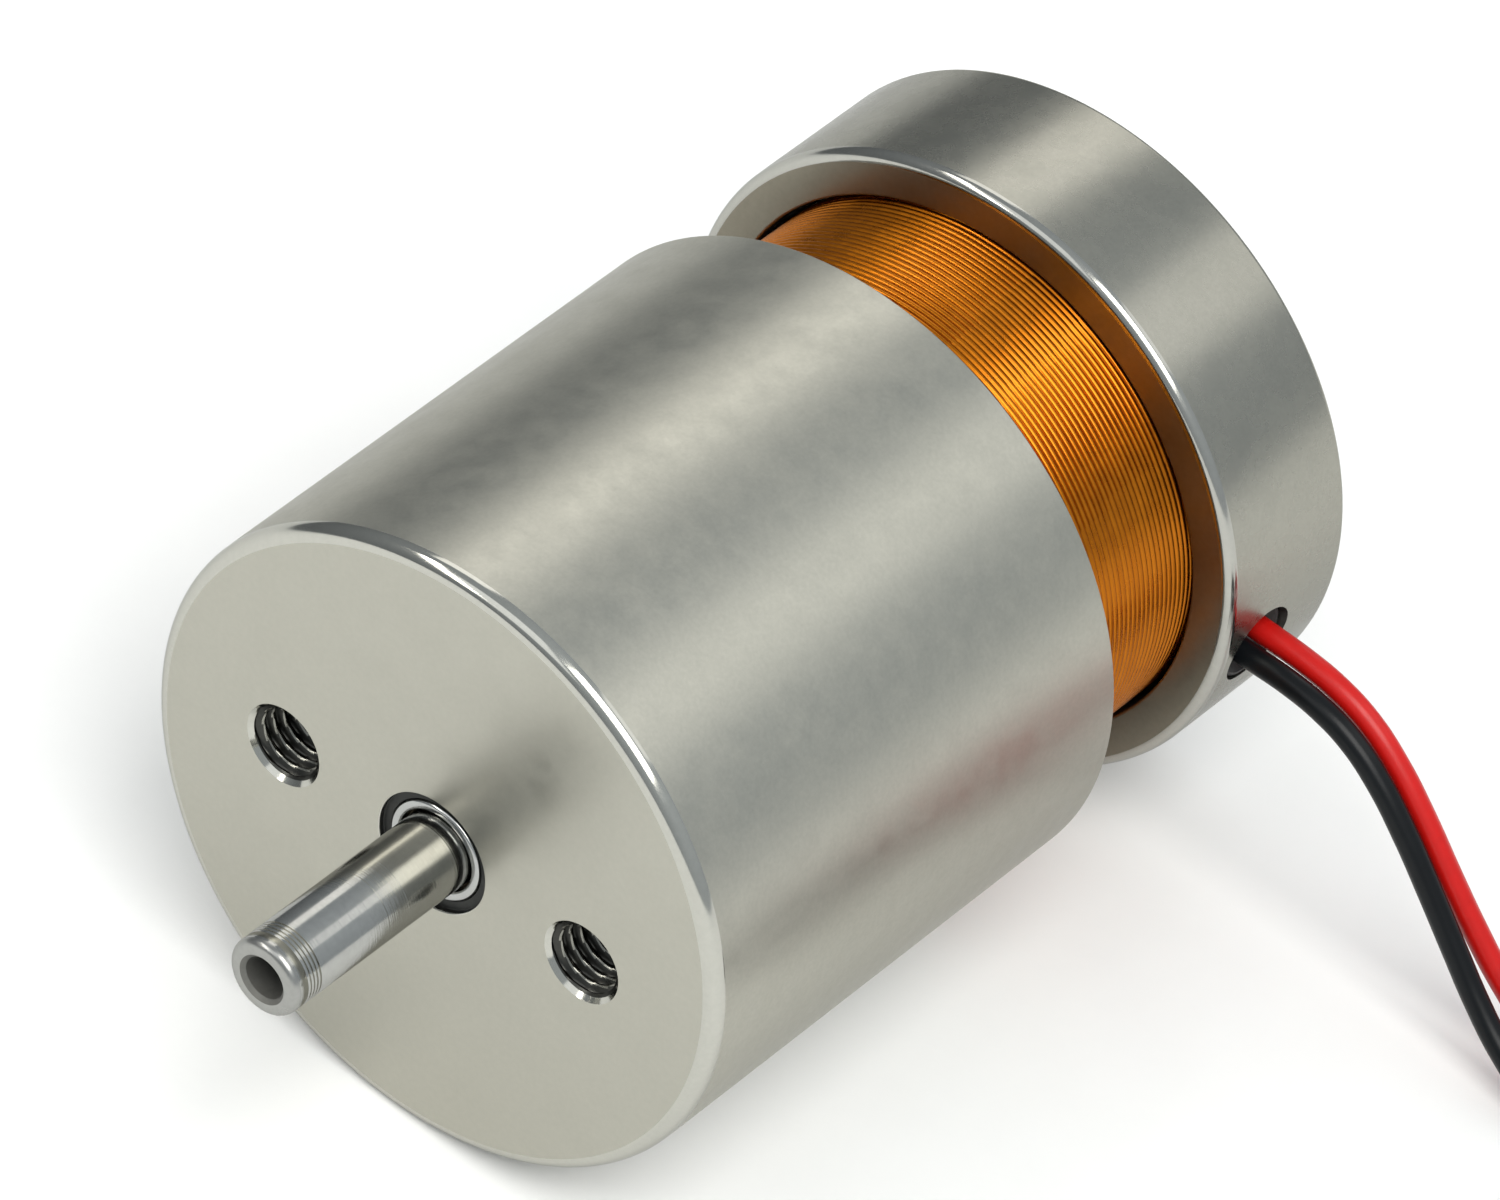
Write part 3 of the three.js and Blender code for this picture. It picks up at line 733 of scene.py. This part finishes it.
def shaft():
    """The output shaft: a hole in each end, marks behind its tip, a clip seat and a journal."""
    drill_point = 1
    tip_hole_end = SHAFT_TIP + 9
    rear_hole_end = SHAFT_END - 10
    mark_count = 5
    first_mark = SHAFT_TIP + 1.3
    mark_pitch = 0.34
    mark_r = SHAFT_R - 0.025
    clip_start = 26.85
    clip_end = 27.95
    clip_seat_r = 2.6
    corners = [
        (0, tip_hole_end + drill_point), (SHAFT_HOLE_R, tip_hole_end), (SHAFT_HOLE_R, SHAFT_TIP + 0.3),
        (TIP_MOUTH_R, SHAFT_TIP), (SHAFT_R, SHAFT_TIP, TIP_ROUND),
    ]
    for k in range(mark_count):
        start = first_mark + mark_pitch * k
        corners += [(SHAFT_R, start), (mark_r, start + 0.06), (mark_r, start + 0.11),
                    (SHAFT_R, start + 0.17)]
    corners += [
        (SHAFT_R, clip_start), (clip_seat_r, clip_start), (clip_seat_r, clip_end), (SHAFT_R, clip_end),
        (SHAFT_R, HUB_FRONT), (JOURNAL_R, HUB_FRONT), (JOURNAL_R, SHAFT_END, 0.3),
        (SHAFT_HOLE_R, SHAFT_END), (SHAFT_HOLE_R, rear_hole_end), (0, rear_hole_end - drill_point),
    ]
    piece = turned("shaft_rod", corners, segments=128, steps=8)

    def choose(distance, radius, *_):
        # Inside the tip's hole the faces get a painted shade.
        if radius < TIP_MOUTH_R - FLAT:
            return "tip_hole"
        return "shaft_tip" if distance < SHAFT_TIP + TIP_ROUND else "shaft"

    finishes = ["shaft", "shaft_tip", "tip_hole"]
    dress(piece, "coil_assembly", finishes, ["output_shaft"], choose)


def winding():
    """One layer of round wire, laid as a helix on the former. The turns are shaded soft, and the
    grooves between them stay crisp."""
    wire_r = WIRE_PITCH / 2
    per_turn = 8
    inner = COIL_R - 1.45

    def crest(distance):
        def at(angle):
            phase = (distance / WIRE_PITCH - angle / math.tau) % 1
            return COIL_R - wire_r + wire_r * math.sqrt(max(0, 1 - (2 * phase - 1) ** 2))
        return at

    rings = [(COIL_START, inner)]
    count = int((COIL_END - COIL_START) * per_turn / WIRE_PITCH)
    for k in range(count + 1):
        distance = COIL_START + (COIL_END - COIL_START) * k / count
        rings.append((distance, crest(distance)))
    rings.append((COIL_END, inner))
    piece = ring_mesh("wire_layer", rings, 192, about(0, 0), turn=0.5, loop=True)
    smooth(piece.data, sharp=80)
    dress(piece, "coil_assembly", ["wire"], ["coil_winding"])


def screw_places():
    for k in range(SCREW_COUNT):
        angle = math.tau * (k + 0.5) / SCREW_COUNT
        yield k + 1, (SCREW_CIRCLE_R * math.cos(angle), SCREW_CIRCLE_R * math.sin(angle))


def lead_hole():
    """The round hole in the cup's side, as the solid that is taken away."""
    rings = [(CUP_BORE_R - 1.5, LEAD_HOLE_R), (CUP_R + 2, LEAD_HOLE_R)]
    return ring_mesh("lead_hole", rings, 64, about_lead_exit, capped=True)


def countersink(index, centre):
    """The hole for a former screw, as the solid that is taken away."""
    over = 0.5
    mouth_r = SCREW_HEAD_R + 0.15
    throat_r = SCREW_SHANK_R + 0.2
    corners = [(0, CUP_REAR + over), (mouth_r + over, CUP_REAR + over),
               (throat_r, CUP_REAR - mouth_r + throat_r), (throat_r, CUP_FLOOR - 1),
               (0, CUP_FLOOR - 1)]
    return turned(f"sink_{index}", corners, segments=48, centre=centre)


def cup():
    """The rear cup, with its rim, hub and the holes for the screws and the leads."""
    head_bore_r = 3.8
    head_seat = CUP_REAR - 3.5
    seat_r = JOURNAL_R + 0.05
    hub_front = HUB_FRONT + 0.05
    corners = [
        (CUP_BORE_R, CUP_FRONT, 0.2), (CUP_R, CUP_FRONT, CUP_RIM), (CUP_R, CUP_REAR, CUP_REAR_EDGE),
        (head_bore_r, CUP_REAR, BORE_EDGE), (head_bore_r, head_seat), (seat_r, head_seat),
        (seat_r, hub_front), (HUB_R, hub_front, BORE_EDGE), (HUB_R, CUP_FLOOR),
        (CUP_BORE_R, CUP_FLOOR),
    ]
    piece = turned("cup_body", corners, segments=256, steps=10)
    cut(piece, [lead_hole()] + [countersink(index, centre) for index, centre in screw_places()])
    side_start = CUP_FRONT + 1
    rear_edge_start = CUP_REAR - CUP_REAR_EDGE - 0.1
    rear_edge_r = CUP_R - CUP_REAR_EDGE - 0.1

    def choose(distance, radius, *_):
        if radius > CUP_R - 0.05 and distance > side_start:
            return "cup_side"
        if distance < side_start and radius > CUP_R - CUP_RIM:
            return "cup_edge"
        # The rim face gets the painted shade.
        if distance < CUP_FRONT + FLAT:
            return "rim_face"
        if distance > CUP_REAR - FLAT:
            return "face"
        if distance > rear_edge_start and radius > rear_edge_r:
            return "cup_edge"
        return "bore"

    finishes = ["cup_side", "face", "rim_face", "cup_edge", "bore"]
    dress(piece, "coil_assembly", finishes, ["rear_cup"], choose)


def former_screws():
    top = CUP_REAR - 0.1
    tip = CUP_FLOOR - 2
    corners = [
        (0, tip), (SCREW_SHANK_R, tip, 0.25), (SCREW_SHANK_R, top - SCREW_HEAD_R + SCREW_SHANK_R),
        (SCREW_HEAD_R, top - 0.02, 0.08), (0, top),
    ]
    for index, centre in screw_places():
        piece = turned(f"screw_{index}", corners, segments=48, centre=centre, steps=3)
        cut(piece, [hex_socket(centre, top, across_corners=1.8, depth=1.2)])
        dress(piece, "coil_assembly", ["dark_steel"], [f"former_screw_{index}"])


def shaft_screw():
    shank_r = 1.6
    head_r = 3.5
    seat = CUP_REAR - 3.4
    top = seat + 2.8
    tip = seat - 8.5
    corners = [(0, tip), (shank_r, tip, 0.3), (shank_r, seat), (head_r, seat), (head_r, top, 0.35),
               (0, top)]
    piece = turned("shaft_screw_body", corners, segments=64, steps=4)
    cut(piece, [hex_socket((0, 0), top, across_corners=3.4, depth=1.8)])
    dress(piece, "coil_assembly", ["dark_steel"], ["shaft_screw"])


def grommet():
    """A rubber plug in the lead hole, with a rounded rim and a dished face."""
    face_x = CUP_BORE_R + 2.8
    outline = [(-2.7, 0), (-2.7, 3.1), (-0.25, 3.1), (-0.05, 2.95), (0, 2.7), (-0.35, 2.45),
               (-0.6, 2.2), (-0.65, 0)]
    rings = [(face_x + depth, radius) for depth, radius in outline]
    piece = ring_mesh("grommet_plug", rings, 48, about_lead_exit)
    dress(piece, "coil_assembly", ["rubber"], ["lead_grommet"])


housing()
bush("front", *FRONT_BUSH)
bush("rear", *REAR_BUSH)
shaft()
winding()
cup()
former_screws()
shaft_screw()
grommet()


# ---------------------------------------------------------------- CAD nodes that stay

KEPT = {
    "core_sleeve": "steel",
    "front_magnet": "magnet",
    "pole_piece": "dark_steel",
    "rear_magnet": "magnet",
    "core_end_washer": "aluminium",
    "core_nut": "steel",
    "front_bumper": "rubber",
    "shaft_clip": "dark_steel",
    "stop_washer": "rubber",
    "coil_former": "aluminium",
    "splice_sleeve_red": "red",
    "splice_sleeve_black": "black",
}
for node_name, finish_name in KEPT.items():
    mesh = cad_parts[node_name].data
    mesh.materials.clear()
    mesh.materials.append(FINISHES[finish_name])


# ---------------------------------------------------------------- floor and light

def floor():
    half = 2.5
    points = [(-half, -half, 0), (half, -half, 0), (half, half, 0), (-half, half, 0)]
    piece = mesh_piece("floor", points, [(0, 1, 2, 3)])
    piece.data.materials.append(finish("pale_floor", (0.89, 0.89, 0.88), 0, 0.6, mottle=0.01,
                                       mottle_size=8, grain="fine", grain_size=0.6, grain_depth=0.01))


WHITE = (1, 1, 1)
WARM = (1, 0.97, 0.92)
SLIGHTLY_WARM = (1, 0.985, 0.95)
COOL = (0.87, 0.94, 1.0, 1)


def softbox(name, place, wide, long, power, color):
    """A rectangular light that faces the motor, with its long side along the motor's axis."""
    light = bpy.data.lights.new(name, "AREA")
    light.shape = "RECTANGLE"
    light.size = wide
    light.size_y = long
    light.energy = power
    light.color = color
    lamp = bpy.data.objects.new(name, light)
    place = Vector(place)
    back = (place - Vector((0, 0, AXIS_Z))).normalized()
    right = Vector((0, 1, 0)).cross(back).normalized()
    turn = Matrix((right, back.cross(right), back)).transposed().to_4x4()
    lamp.matrix_world = Matrix.Translation(place) @ turn
    bpy.context.collection.objects.link(lamp)


def sky():
    """A cool surround that is brighter at the top and on the right."""
    middle_level = 0.39
    slope = (0.20, 0, 0.24)
    world = bpy.data.worlds.new("studio")
    world.use_nodes = True
    tree = world.node_tree
    background = tree.nodes["Background"]
    background.inputs["Color"].default_value = COOL
    towards = tree.nodes.new("ShaderNodeTexCoord").outputs["Generated"]
    lean = tree.nodes.new("ShaderNodeVectorMath")
    lean.operation = "DOT_PRODUCT"
    lean.inputs[1].default_value = slope
    tree.links.new(towards, lean.inputs[0])
    level = tree.nodes.new("ShaderNodeMath")
    level.inputs[1].default_value = middle_level
    tree.links.new(lean.outputs["Value"], level.inputs[0])
    tree.links.new(level.outputs[0], background.inputs["Strength"])
    bpy.context.scene.world = world


def studio():
    floor()
    softbox("strip_left", (-0.64, 0.80, 0.98), wide=0.50, long=1.3, power=2.8, color=WARM)
    softbox("strip_right", (0.62, 0.80, 1.0), wide=0.55, long=1.3, power=1.9, color=WARM)
    softbox("strip_front", (-0.65, -0.57, 0.71), wide=0.12, long=0.8, power=3.0, color=WARM)
    softbox("key", (1.0, -0.68, 1.8), wide=1.4, long=1.4, power=36, color=SLIGHTLY_WARM)
    softbox("fill", (-0.5, -1.3, 1.4), wide=1.2, long=1.2, power=4, color=WHITE)
    sky()
    bpy.context.scene.view_settings.view_transform = "Standard"


studio()
